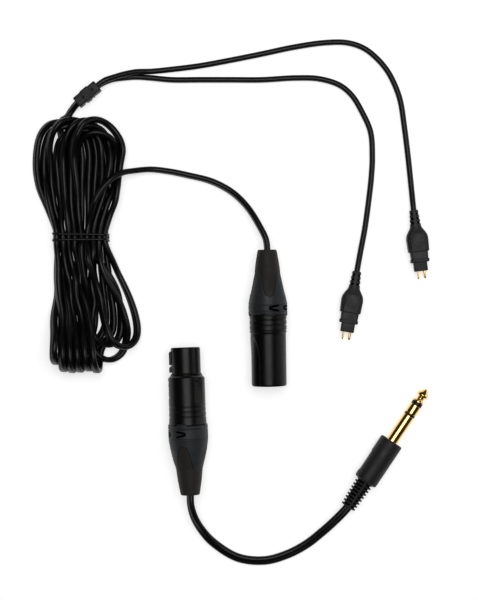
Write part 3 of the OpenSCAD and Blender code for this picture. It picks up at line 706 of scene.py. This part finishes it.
def boot(name, stations, ring_r, spin, where, body, replaces):
    """A rubber boot whose four tongues show between the gland's petals"""
    core_end = stations[2] - 0.2
    tip = petal_tip(stations)
    profile = [(0.0, 2.9, 0.5), (0, 4.9, 0.7), (0.9, 5.2, 0.8), (4.7, 5.85, 1.0), (8, 6.4, 1.0)]
    profile.append((tip, ring_r - 3.62, 0))
    for x in np.linspace(tip + 0.6, core_end, 30):
        profile.append((x, float(cone_r(x, stations, ring_r)) - 0.28, 0))
    profile += [(core_end, 5.5), (14, 2.8)]

    def shape(x, r, angle):
        cone = cone_r(x, stations, ring_r)
        share = 360 / PETALS
        turned_by = (math.degrees(angle) - spin + share / 2) % share - share / 2
        off = abs(math.radians(turned_by)) * cone
        own = tongue_half(x, stations) - SEAM
        under = smooth(off - own, 0.0, 0.35) * smooth(x, tip + 1.5, tip + 2.2)
        tucked = np.where((r > cone - 0.6) & (x > tip), r - 0.85 * under, r)
        ripple = 0.03 * np.sin(x * 2 * math.pi / 1.3) * (1 - smooth(x, 5, 9)) * smooth(x, 0.8, 1.6)
        return tucked + np.where(r > 4.9, ripple, 0)

    points, faces = turned(profile, shape, 240, cut=0.2, step=0.35)
    return add(name, points, faces, where, BOOT, body, replaces, crease=50)


def box_at(x, y, z):
    """Corners and faces of a box between pairs of numbers"""
    corners = [(a, b, c) for a in x for b in y for c in z]
    faces = [(0, 1, 3, 2), (4, 6, 7, 5), (0, 4, 5, 1), (2, 3, 7, 6), (0, 2, 6, 4), (1, 5, 7, 3)]
    return np.array(corners, float), faces


def carve(points, faces, cutters):
    """Takes boxes out of a closed shape"""
    def as_object(p, f):
        mesh = bpy.data.meshes.new("carving")
        mesh.from_pydata([tuple(q) for q in p], [], f)
        bm = bmesh.new()
        bm.from_mesh(mesh)
        bmesh.ops.remove_doubles(bm, verts=bm.verts, dist=0.0005)
        bmesh.ops.recalc_face_normals(bm, faces=bm.faces)
        bm.to_mesh(mesh)
        bm.free()
        made = bpy.data.objects.new("carving", mesh)
        bpy.context.scene.collection.objects.link(made)
        return made

    whole = as_object(points, faces)
    made = [whole]
    for cutter in cutters:
        tool = as_object(*cutter)
        made.append(tool)
        cut = whole.modifiers.new("cut", "BOOLEAN")
        cut.operation = "DIFFERENCE"
        cut.solver = "EXACT"
        cut.object = tool
    done = whole.evaluated_get(bpy.context.evaluated_depsgraph_get()).to_mesh()
    out = np.array([v.co[:] for v in done.vertices]), [tuple(f.vertices) for f in done.polygons]
    for o in made:
        bpy.data.objects.remove(o)
    return out


def section_ring(x, half_w, half_t, corner, per_corner=6):
    """One rounded rectangle across X"""
    out = []
    corner = min(corner, half_w * 0.98, half_t * 0.98)
    for sy, sz, start in ((1, 1, 0), (-1, 1, 90), (-1, -1, 180), (1, -1, 270)):
        for k in range(per_corner):
            a = math.radians(start + 90 * k / (per_corner - 1))
            y = sy * (half_w - corner) + corner * math.cos(a)
            out.append((x, y, sz * (half_t - corner) + corner * math.sin(a)))
    return out


def lofted(sections):
    """A closed solid through rounded rectangles, each given as (station, half width, half height, corner)"""
    return grid([np.array(section_ring(*section)) for section in sections], False)


def plug_cover(name, where, replaces):
    """Moulded cover of a two-pin plug: slotted relief, shoulders, a body with a flat face, a collar"""
    half_w, half_t = PLUG_W / 2, PLUG_T / 2
    stations = [
        (0, 2.0, 2.0, 1.9), (0.25, 2.3, 2.3, 2.2), (1.6, 2.45, 2.4, 2.2), (9, 3.0, 2.75, 2.4),
        (10.2, 3.5, 3.0, 2.2),
        (11.6, 4.4, 3.4, 1.9), (13.0, 5.2, 3.9, 1.6), (14.4, 5.65, half_t, 1.5), (16, half_w, half_t, 1.5),
        (22.1, half_w - 0.25, half_t, 1.5), (22.45, half_w - 0.35, half_t - 0.1, 1.4),
        (22.6, half_w - 0.6, half_t - 0.3, 1.2),
        (22.6, 4.7, 3.5, 1.0), (26.5, 4.55, 3.45, 1.0), (26.6, 4.9, 3.6, 1.0), (26.75, 5.0, 3.65, 1.0),
        (28.0, 4.9, 3.6, 1.0), (28.2, 4.75, 3.5, 0.9), (28.3, 4.5, 3.3, 0.8)
    ]
    xs = np.unique(np.concatenate([np.arange(0, 28.3, 0.2), [s[0] for s in stations]]))
    at = np.array([(s[0] + 0.001 * i, *s[1:]) for i, s in enumerate(stations)])
    even = np.arange(8, 18.01, 0.2)
    kernel = np.hanning(11) / np.hanning(11).sum()
    eased = [even]
    for k in (1, 2, 3):
        column = np.pad(np.interp(even, at[:, 0], at[:, k]), 5, "edge")
        eased.append(np.convolve(column, kernel, "valid"))
    at = np.vstack([at[at[:, 0] < 8], np.column_stack(eased), at[at[:, 0] > 18.1]])
    rings = []
    for x in np.sort(np.concatenate([xs, at[:, 0]])):
        w, t, c = (float(np.interp(x, at[:, 0], at[:, k])) for k in (1, 2, 3))
        ring = np.array(section_ring(x, w, t, c, per_corner=8))
        rings.append(dense_ring(ring))
    points, faces = grid(rings, False)
    x, y, z = points.T
    w_here = np.interp(x, at[:, 0], at[:, 1])
    # the flat panel on each face stands between two bevelled strips
    in_body = smooth(x, 10.5, 12.0) * (1 - smooth(x, 22.3, 22.5))
    strip = smooth(np.abs(y), w_here - 1.9, w_here - 1.5)
    side_drop = in_body * strip * 0.55 * smooth(np.abs(z), 1.5, 3.0)
    dimple = 0.16 * (1 - smooth(np.hypot(x - 16.6, y), 2.9, 3.5)) * (np.abs(z) > 3)
    z = z - np.sign(z) * (side_drop + dimple)
    # slots on both sides of the relief's spine
    pull = np.zeros_like(x)
    for s in (2.2, 4.6, 7.0):
        pull += np.clip(1 - (np.abs(x - s) / 0.55) ** 6, 0, 1)
    spine = smooth(np.abs(y), 0.75, 1.0)
    shrink = 1 - 0.5 * pull * spine * (x < 9)
    y, z = y * np.where(np.abs(y) > 1.8, 1 - 0.12 * pull * (x < 9), 1), z * shrink
    points = np.stack([x, y, z], axis=1)
    piece = add(name, points, faces, where, MOULDED, "y_lead", replaces, crease=35)
    # painted shade: the faces deep in the relief's slots, off its spine, get the near-black gap material
    paint_gap_shade(piece, where, lambda x, r, angle: x < 8 and min(abs(x - s) for s in (2.2, 4.6, 7.0)) < 0.5
            and abs(r * math.sin(angle)) > 0.9 and abs(math.cos(angle)) > 0.25)
    return piece


def dense_ring(ring, count=112):
    """The same closed ring with points evenly along it"""
    closed = np.vstack([ring, ring[:1]])
    along = np.concatenate([[0], np.cumsum(np.linalg.norm(np.diff(closed, axis=0), axis=1))])
    at = np.linspace(0, along[-1], count, endpoint=False)
    return np.stack([np.interp(at, along, closed[:, k]) for k in range(3)], axis=1)


def plug(side, where):
    cover = plug_cover(side + "_plug_body", where, [side + "_plug_cover"])
    nose = [
        (25, 3.5, 2.6, 0.6), (27.5, 3.6, 2.7, 0.7), (32.7, 3.6, 2.7, 0.7), (33.0, 3.5, 2.6, 0.6),
        (33.1, 3.2, 2.3, 0.5)
    ]
    points, faces = lofted(nose)
    front = add(side + "_plug_nose", points, faces, where, MOULDED, "y_lead",
                [side + "_plug_carrier"])
    out = [cover, front]
    for which, y, r in (("thick", 1.8, 0.7), ("thin", -1.8, 0.5)):
        profile = [(21, 0), (21, 1.0), (25, 1.0), (25, r)]
        profile += [(35.0, r, 0.05), (35.15, r * 0.82, 0.05), (35.5, r * 0.82, 0.05), (35.65, r, 0.05)]
        profile += [(36.3, r, 0.3), (36.9, r * 0.75, 0.2), (37.25, r * 0.3, 0.1), (37.3, 0)]
        points, faces = turned(profile, segments=32, cut=0.03)
        node = side + "_" + which + "_pin"
        name = side + "_" + which + "_contact"
        points = points + np.array([0, y, 0])
        out.append(add(name, points, faces, where, GOLD, "y_lead", [node]))
    return out


# where each ring's slots begin and end, in degrees from its top
MALE_SLOTS = [(-33, -4), (-90, -52)]
FEMALE_SLOTS = [(-35, -7), (-90, -62)]

left_plug = plug("left", LEFT)
right_plug = plug("right", RIGHT)

male_gland = gland("male_petal_gland", MALE_X, MALE_RING_R, MALE_SPIN, MALE_SLOTS, MALE, "male_screw",
                   ["male_gland"])
male_boot = boot("male_rubber_boot", MALE_X, MALE_RING_R, MALE_SPIN, MALE, "male_screw", ["male_boot"])
gland("female_petal_gland", FEMALE_X, FEMALE_RING_R, FEMALE_SPIN, FEMALE_SLOTS, FEMALE, "female_screw",
      ["female_gland"])
boot("female_rubber_boot", FEMALE_X, FEMALE_RING_R, FEMALE_SPIN, FEMALE, "female_screw", ["female_boot"])


def male_shell():
    back, r = MALE_X[3] + 0.1, MALE_SHELL_R
    step = back + 10
    line = [(back, 7.95), (back, r + 0.3), (back + 0.2, r + 0.45)]
    for s in (2.6, 5.4, 8.2):
        line += [(back + s - 0.25, r + 0.42, 0.05), (back + s, r + 0.12, 0.05)]
        line += [(back + s + 0.35, r + 0.12, 0.05), (back + s + 0.6, r + 0.4, 0.05)]
    line += [(step - 0.5, r + 0.36), (step - 0.1, r + 0.05), (step + 0.3, r), (MALE_LEN - 0.6, r, 0.4),
             (MALE_LEN, r - 0.35, 0.25), (MALE_LEN, 8.2, 0.1), (MALE_LEN - 0.4, 7.95, 0.2)]

    def shape(x, r_line, angle):
        side = (math.degrees(angle) - 68 + 180) % 360 - 180
        across = abs(math.radians(side)) * r
        reach = np.clip((step + 16 - x) / 14.5, 0, 1)
        edge = 6.2 * np.sqrt(1 - reach ** 2)
        inside = (1 - smooth(across - edge, -0.3, 0.1)) * smooth(x, step + 1.5, step + 1.9)
        return r_line - np.where(r_line > r - 0.5, 0.3 * inside, 0)

    points, faces = turned(line, shape, 256, cut=0.12, step=0.6)
    key = box_at((MALE_LEN - 12.5, MALE_LEN + 5), (-9.05, -5), (-1.6, 1.6))
    points, faces = carve(points, faces, [key])
    return add("male_barrel", points, faces, MALE, SHELL, "y_lead", ["male_shell"], crease=30)


def female_shell():
    back, r = FEMALE_X[3] + 0.1, HOUSING_R
    neck = BARREL_X - 2
    line = [(back, 8.1), (back, r + 0.1), (back + 0.2, r + 0.25)]
    for s in (4.3, 7.0, 9.5):
        line += [(back + s - 0.2, r + 0.2 - 0.02 * s, 0.05), (back + s, r - 0.12, 0.05)]
        line += [(back + s + 0.35, r - 0.12, 0.05), (back + s + 0.55, r + 0.18 - 0.02 * s, 0.05)]
    line += [(back + 12, r), (neck - 0.5, r, 0.4), (neck, r - 0.5, 0.3), (neck + 0.6, 8.6)]
    line += [(BARREL_X - 0.2, 8.25), (BARREL_X, BARREL_R, 0.1), (FEMALE_LEN - 0.5, BARREL_R, 0.3)]
    line += [(FEMALE_LEN, BARREL_R - 0.35, 0.25), (FEMALE_LEN, 6.95, 0.1), (FEMALE_LEN - 0.3, 6.9, 0.1)]
    line += [(62.1, 6.9), (62.1, 8.1)]
    key_edge = math.degrees(math.asin(1.5 / BARREL_R))

    def shape(x, r_line, angle):
        side = (math.degrees(angle) + 90 + 180) % 360 - 180
        on = 1 - smooth(abs(side), key_edge - 0.4, key_edge + 0.9)
        along = smooth(x, BARREL_X + 0.1, BARREL_X + 0.4) * (1 - smooth(x, BARREL_X + 11.4, BARREL_X + 12))
        outside = (r_line > BARREL_R - 0.2) & (x > BARREL_X)
        r_line = r_line + np.where(outside, 1.1 * on * along, 0)
        # a plain sunk window on the right-hand side of the housing
        turn = (math.degrees(angle) - 42 + 180) % 360 - 180
        along = smooth(x, back + 12.4, back + 12.8) * (1 - smooth(x, neck - 2.4, neck - 2.0))
        sunk = (1 - smooth(abs(turn), 13, 14)) * along
        return r_line - np.where(r_line > r - 0.6, 0.14 * sunk, 0)

    points, faces = turned(line, shape, 288, cut=0.12, step=0.6)
    window = box_at((51.6, 61), (4, 14), (-2.5, 2.5))
    hook = box_at((BARREL_X - 0.5, BARREL_X + 4.6), (4, 14), (-1.8, 1.8))
    points, faces = carve(points, faces, [window, hook])
    return add("female_barrel", points, faces, FEMALE, SHELL, "adapter", ["female_shell"], crease=30)


male_barrel = male_shell()
female_shell()


def bevelled(outline, half_width, cut=0.25):
    """An outline in X and Y made solid along Z, with its edges bevelled"""
    line = rounded(outline, 0.3, True, 3)
    inner = []
    count = len(line)
    for i in range(count):
        ahead, back = line[(i + 1) % count] - line[i], line[i - 1] - line[i]
        turn = unit(ahead)[::-1] * [-1, 1] - unit(back)[::-1] * [-1, 1]
        inner.append(line[i] + cut * unit(turn))
    inner = np.array(inner)
    rings = [np.column_stack([ring, np.full(count, z)]) for ring, z in
             ((inner, -half_width), (line, cut - half_width), (line, half_width - cut), (inner, half_width))]
    return grid(rings, False)


lever_outline = [
    (47.4, 5.2), (48.0, 5.0), (69.2, 5.0), (69.2, 6.4), (60.6, 6.4), (60.6, 8.9), (59.8, 9.6), (57.6, 9.6),
    (57.3, 9.35), (56.9, 9.6), (56.1, 9.6), (55.8, 9.35), (55.4, 9.6), (52.8, 9.6), (52, 8.9), (52, 6.4),
    (49.4, 7.2), (48.0, 7.1), (47.4, 6.6)
]
hook_outline = [(65.6, 5.6), (69.2, 5.6), (69.2, 7.75), (68, 8.95), (65.6, 8.95)]
points, faces = bevelled(lever_outline, 2.2)
more, extra = bevelled(hook_outline, 1.5)
faces = faces + [tuple(i + len(points) for i in face) for face in extra]
points = np.vstack([points, more])
add("latch_tab", points, faces, FEMALE, SHELL, "latch", ["latch_lever"], crease=30)

# ---------------------------------------------------------------- jack plug


def jack_cover():
    r = JACK_COVER_R
    line = [(16.5, 4.6), (16.5, r - 0.6, 0.15), (17.0, r - 0.1, 0.25), (18.2, r, 0.5), (42.0, r, 0.3)]
    line += [(42.5, r - 0.6, 0.3), (42.5, 3.5, 0.1), (40.4, 3.5), (40.4, 5), (20, 5), (20, 4.6)]

    def shape(x, r_line, angle):
        across = abs(math.sin(angle + math.pi / 2)) * r
        flat = r - 0.5
        cut_to = flat / max(math.cos(math.asin(min(0.999, across / r))), 0.5)
        on = (1 - smooth(x, 32.2, 32.5)) * smooth(x, 20.4, 20.7) * (math.sin(angle) < 0) * (across < 2.5)
        cut_line = np.minimum(r_line, r_line + (cut_to - r) * on)
        return np.where(r_line > r - 0.1, cut_line, r_line)

    points, faces = turned(line, shape, 256, cut=0.15, step=0.4)
    return add("jack_body", points, faces, JACK, COVER, "adapter", ["jack_cover"], crease=30)


def jack_relief():
    """Ribbed relief, with its slots on both sides of two spines"""
    pitch = 15.9 / 8
    rib_w = 1.1

    def shape(x, r_line, angle):
        rib_r = 4.1 + 0.9 * x / 16.5
        phase = np.mod(x, pitch)
        edge = 0.22
        on_rib = smooth(phase, -edge, edge) * (1 - smooth(phase, rib_w - edge, rib_w)) * (x < 16.2)
        on_rib = np.where(phase > pitch - edge, smooth(phase, pitch - edge, pitch + edge), on_rib)
        core = 2.95 + 0.9 * x / 16.5
        across = abs(math.sin(angle - 0.1)) * 4
        spine = (1 - smooth(across, 0.55, 0.8)) * (rib_r - 0.2 - core)
        out = core + np.maximum(on_rib * (rib_r - core), spine)
        out = np.where(x > 15.95, 4.55, out)
        end = np.where(x < 0.25, -0.2, 0)
        return np.where(r_line > 3.5, out + end, r_line)

    line = [(0, 2.6), (0, 4, 0), (20, 4.0, 0), (20, 2.6)]
    points, faces = turned(line, shape, 192, cut=0, step=0.11)
    piece = add("jack_ribbed_relief", points, faces, JACK, RELIEF, "adapter", ["jack_relief"],
                crease=50)
    # painted shade: the core between the ribs gets the near-black gap material
    paint_gap_shade(piece, JACK, lambda x, r, angle: 0.4 < x < 15.9 and 2.8 < r < 3.25 + 0.9 * x / 16.5)
    return piece


jack_pieces = [jack_cover(), jack_relief()]
# profiles along the axis; a narrow stem of each contact runs back inside the cover
TIP_LINE = [
    (34, 0), (34, 1), (67.5, 1), (67.5, 2.95, 0.05), (67.62, JACK_R, 0.05), (68.3, JACK_R, 0.2),
    (68.9, 2.2, 0.3), (69.9, 1.85, 0.3), (70.6, 2.0, 0.2), (71.4, 3.0, 0.35), (72.3, JACK_R, 0.3),
    (73.2, 2.75, 0.3), (75.3, 1.0, 0.3), (76, 0.35, 0.2), (76, 0)
]
RING_LINE = [
    (36, 1.5), (36, 2), (60.2, 2), (60.2, 3.05, 0.05), (60.32, JACK_R, 0.05), (65.48, JACK_R, 0.05),
    (65.6, 3.05, 0.05), (65.6, 1.5)
]
SLEEVE_LINE = [
    (38, 2.5), (38, 4.6), (40.4, 4.6), (40.4, 3.5), (42.5, 3.5), (42.5, JACK_R), (58.88, JACK_R, 0.05),
    (59, 3.05, 0.05), (59, 2.5)
]
TIP_BAND_LINE = [(35, 1), (35, 1.5), (65.6, 1.5), (65.6, 3.0), (67.5, 3.0), (67.5, 1)]
RING_BAND_LINE = [(37, 2), (37, 2.5), (59, 2.5), (59, 3.0), (60.2, 3.0), (60.2, 2)]

for name, line, look, kind, node in (
    ("jack_tip_contact", TIP_LINE, GOLD, "gold", "jack_tip"),
    ("jack_ring_contact", RING_LINE, GOLD, "gold", "jack_ring"),
    ("jack_sleeve_contact", SLEEVE_LINE, GOLD, "gold", "jack_sleeve"),
    ("jack_tip_band", TIP_BAND_LINE, BLACK, "black_plastic", "tip_insulator"),
    ("jack_ring_band", RING_BAND_LINE, BLACK, "black_plastic", "ring_insulator"),
):
    points, faces = turned(line, segments=96, cut=0.02, steps=3)
    jack_pieces.append(add(name, points, faces, JACK, look, "adapter", [node]))

# ---------------------------------------------------------------- splitter and tie


def splitter():
    """A rubbery block with a wider band round its middle, two dimples on top and a notch low on one side"""
    stations = [
        (-7.3, 2.5, 3.2, 0.8), (-7.2, 2.9, 3.6, 0.9), (-6.9, 3.1, 3.8, 0.9), (-2.6, 3.1, 3.8, 0.9),
        (-2.3, 3.45, 3.9, 0.8), (2.3, 3.5, 3.9, 0.8), (2.6, 3.1, 3.8, 0.9), (6.9, 3.1, 3.8, 0.9),
        (7.2, 2.9, 3.6, 0.9), (7.3, 2.5, 3.2, 0.8)
    ]
    at = np.array(stations)
    xs = np.sort(np.unique(np.concatenate([at[:, 0], np.arange(-7.3, 7.3, 0.2)])))
    rings = []
    for x in xs:
        w, t, c = (float(np.interp(x, at[:, 0], at[:, k])) for k in (1, 2, 3))
        rings.append(dense_ring(np.array(section_ring(x, w, t, c, per_corner=8)), 96))
    points, faces = grid(rings, False)
    x, y, z = points.T
    seam = 0.14 * np.clip(1 - np.abs(z) / 0.25, 0, 1)
    y = y - np.sign(y) * seam
    for cx in (-2.8, 3.6):
        z = z - np.sign(z) * 0.35 * (1 - smooth(np.hypot(x - cx, y), 0.35, 0.75)) * (np.abs(z) > 2.5)
    notch = np.clip(1 - (np.abs(x - 1.2) / 0.8) ** 4, 0, 1) + np.clip(1 - (np.abs(x + 3.4) / 0.6) ** 4, 0, 1)
    y = y + 0.5 * notch * (y < -2) * smooth(-z, -3.0, -1.0)
    points = np.stack([x, y, z], axis=1)
    add("splitter_block", points, faces, SPLITTER, SPLIT, "y_lead",
        ["splitter_top", "splitter_bottom"], crease=40)


splitter()


def tie():
    """Thin wire twice round the hank's waist, led in from a short end low on its right"""
    half_w, low, high = 29.4 / 2, 1.1, 11.3
    line = []
    for turn in range(2):
        for k in range(40):
            t = 2 * math.pi * k / 40
            c, s = math.cos(t), math.sin(t)
            across = half_w * math.copysign(abs(c) ** 0.28, c)
            up = (low + high) / 2 + (high - low) / 2 * math.copysign(abs(s) ** 0.45, s)
            share = turn + k / 40
            side = 0.75 if turn else -0.75
            sway = (0.8 if turn else -0.9) * math.sin(t / 2) ** 2 * (1 if s > 0 else -0.3)
            y = TIE_AT[1] + side + sway + 0.5 * share
            line.append((TIE_AT[0] + across, y, up))
    line = [(TIE_AT[0] + half_w + 0.1, TIE_AT[1] - 1.6, 4.2)] + line
    line = spline(line, 0.5)
    ahead = headings(line)
    wide = np.cross(ahead, [0, 1.0, 0]) + 1e-6
    points, faces = swept(line, wide, circle(0.62, 14))
    return add("tie_twist", points, faces, HERE, TIE, "y_lead", ["hank_tie"], crease=60)


tie()

# ---------------------------------------------------------------- carried-over CAD nodes

for name, look in (
    ("male_insert", BLACK), ("female_insert", BLACK), ("male_pins", GOLD), ("female_contacts", GOLD),
    ("male_chuck", CLAMP), ("female_chuck", CLAMP), ("latch_pin", STEEL), ("latch_spring", STEEL),
    ("jack_lugs", STEEL), ("male_wires", WIRES["red"]), ("female_wires", WIRES["blue"]),
    ("jack_wires", WIRES["white"]), ("left_plug_wires", WIRES["red"]), ("right_plug_wires", WIRES["yellow"])
):
    for holder in nodes[name].material_slots:
        holder.material = look

# ---------------------------------------------------------------- the cords


def cad_parts(*names):
    return [nodes[n] for n in names]


male_pieces = [male_gland, male_boot, male_barrel]
male_pieces += cad_parts("male_insert", "male_pins", "male_wires", "male_chuck")
lay_cord("trunk_cord", trunk_line, trunk_wide, TWIN, "y_lead", ["trunk_upper", "trunk_hank", "trunk_tail"])

FLAT = [(0, 0), (1, 0)]
left_line = spline(LEFT_ROUTE, 1.5)
lay_cord("left_leg", left_line, flat_wide(left_line, FLAT), LEG, "y_lead", ["left_lead"])
right_line = spline(RIGHT_ROUTE, 1.5)
lay_cord("right_leg", right_line, flat_wide(right_line, FLAT), LEG, "y_lead", ["right_lead"])
adapter_line = spline(ADAPTER_ROUTE, 1.3)
adapter_turns = [(0, 60), (0.2, 55), (0.35, 20), (0.8, 8), (1, 0)]
lay_cord("adapter_cord", adapter_line, flat_wide(adapter_line, adapter_turns), TWIN, "adapter",
         ["adapter_lead"])

# ---------------------------------------------------------------- floor and light

FLOOR = 3.0  # metres from the middle to each side
floor_mesh = bpy.data.meshes.new("floor")
floor_corners = [(-FLOOR, -FLOOR, 0), (FLOOR, -FLOOR, 0), (FLOOR, FLOOR, 0), (-FLOOR, FLOOR, 0)]
floor_mesh.from_pydata(floor_corners, [], [(0, 1, 2, 3)])
floor = bpy.data.objects.new("floor", floor_mesh)
bpy.context.scene.collection.objects.link(floor)
floor.location.z = -0.0001
paper = material("floor_paper", (0.9, 0.9, 0.9), 0.9, 900, spread=0.005, specular=0.1, height=0.00001)
paper_shader = paper.node_tree.nodes["Principled BSDF"]
paper_shader.inputs["Emission Color"].default_value = (1, 1, 1, 1)
paper_shader.inputs["Emission Strength"].default_value = 0.62
floor_mesh.materials.append(paper)


def panel(name, at, size, watts):
    """A rectangular light that looks at the middle of the floor"""
    data = bpy.data.lights.new(name, "AREA")
    data.shape = "RECTANGLE"
    data.size, data.size_y = size
    data.energy = watts
    light = bpy.data.objects.new(name, data)
    bpy.context.scene.collection.objects.link(light)
    light.location = at
    light.rotation_euler = (math.atan2(math.hypot(at[0], at[1]), at[2]), 0, math.atan2(at[0], -at[1]))


panel("overhead", (0.05, 0.15, 1.4), (1.0, 1.0), 9)
panel("side", (1.6, 0.2, 0.5), (0.5, 1.2), 3)

world = bpy.data.worlds.new("world")
world.use_nodes = True
world.node_tree.nodes["Background"].inputs["Color"].default_value = (1, 1, 1, 1)
world.node_tree.nodes["Background"].inputs["Strength"].default_value = 0.04
bpy.context.scene.world = world
bpy.context.scene.view_settings.view_transform = "Standard"
bpy.context.scene.view_settings.gamma = 0.85
